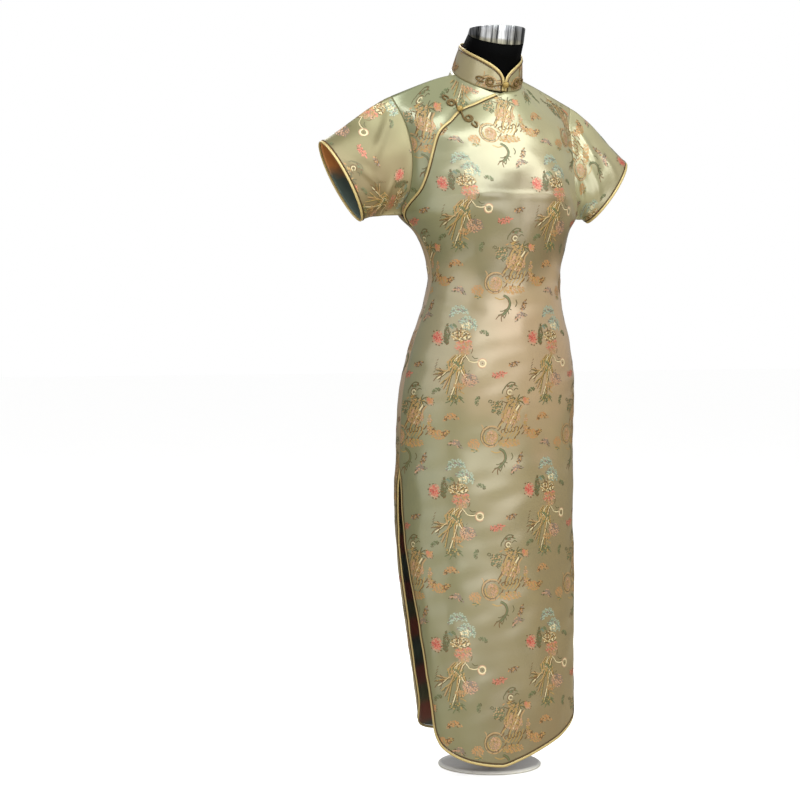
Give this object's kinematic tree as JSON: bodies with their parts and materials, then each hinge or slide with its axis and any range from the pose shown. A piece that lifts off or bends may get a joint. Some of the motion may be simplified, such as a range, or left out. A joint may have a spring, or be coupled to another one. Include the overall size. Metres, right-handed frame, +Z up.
{
  "type": "cheongsam dress on a limbless dress form",
  "caption": "Long short-sleeved brocade cheongsam with a standing collar, slanting front, knotted frogs and side slits, on a dress form.",
  "frame": {"origin": "centre of the stand's round base, on the floor", "axes": "+Z up, the dress faces -Y, the wearer's left is +X"},
  "size_m": [0.6671, 0.2734, 1.4288],
  "materials": {
    "front_brocade": "champagne-green silk brocade with woven dragons, phoenixes and flowers, satin ground",
    "under_front_brocade": "champagne-green silk brocade with woven dragons, phoenixes and flowers, satin ground",
    "back_brocade": "champagne-green silk brocade with woven dragons, phoenixes and flowers, satin ground",
    "right_sleeve_brocade": "champagne-green silk brocade with woven dragons, phoenixes and flowers, satin ground",
    "left_sleeve_brocade": "champagne-green silk brocade with woven dragons, phoenixes and flowers, satin ground",
    "collar_brocade": "champagne-green silk brocade with woven dragons, phoenixes and flowers, satin ground",
    "front_hem_satin": "gold satin binding with a fine dark cord along its edge",
    "back_hem_satin": "gold satin binding with a fine dark cord along its edge",
    "right_cuff_satin": "gold satin binding with a fine dark cord along its edge",
    "left_cuff_satin": "gold satin binding with a fine dark cord along its edge",
    "slant_satin": "gold satin binding with a fine dark cord along its edge",
    "collar_satin": "gold satin binding with a fine dark cord along its edge",
    "frog_cord": "rolled satin cord, dark bronze gold",
    "form_jersey": "matte black jersey, close fitting",
    "cap_metal": "polished metal",
    "pole_metal": "polished tube",
    "base_lacquer": "pale satin paint"
  },
  "bodies": {
    "root": {"Front_Panel": "front_brocade", "Under_Front": "under_front_brocade", "Back_Panel": "back_brocade", "Right_Sleeve": "right_sleeve_brocade", "Left_Sleeve": "left_sleeve_brocade", "Collar": "collar_brocade", "Front_Hem_Binding": "front_hem_satin", "Back_Hem_Binding": "back_hem_satin", "Right_Cuff_Binding": "right_cuff_satin", "Left_Cuff_Binding": "left_cuff_satin", "Slant_Binding": "slant_satin", "Collar_Binding": "collar_satin", "Collar_Coil_Right": "frog_cord", "Collar_Coil_Left": "frog_cord", "Collar_Leaf_Right": "frog_cord", "Collar_Leaf_Left": "frog_cord", "Collar_Knot": "frog_cord", "Chest_Coil_Upper": "frog_cord", "Chest_Coil_Lower": "frog_cord", "Chest_Leaf_Upper": "frog_cord", "Chest_Leaf_Lower": "frog_cord", "Chest_Knot": "frog_cord", "Form_Body": "form_jersey", "Neck_Cap": "cap_metal", "Pole": "pole_metal", "Base": "base_lacquer"}
  },
  "joints": []
}
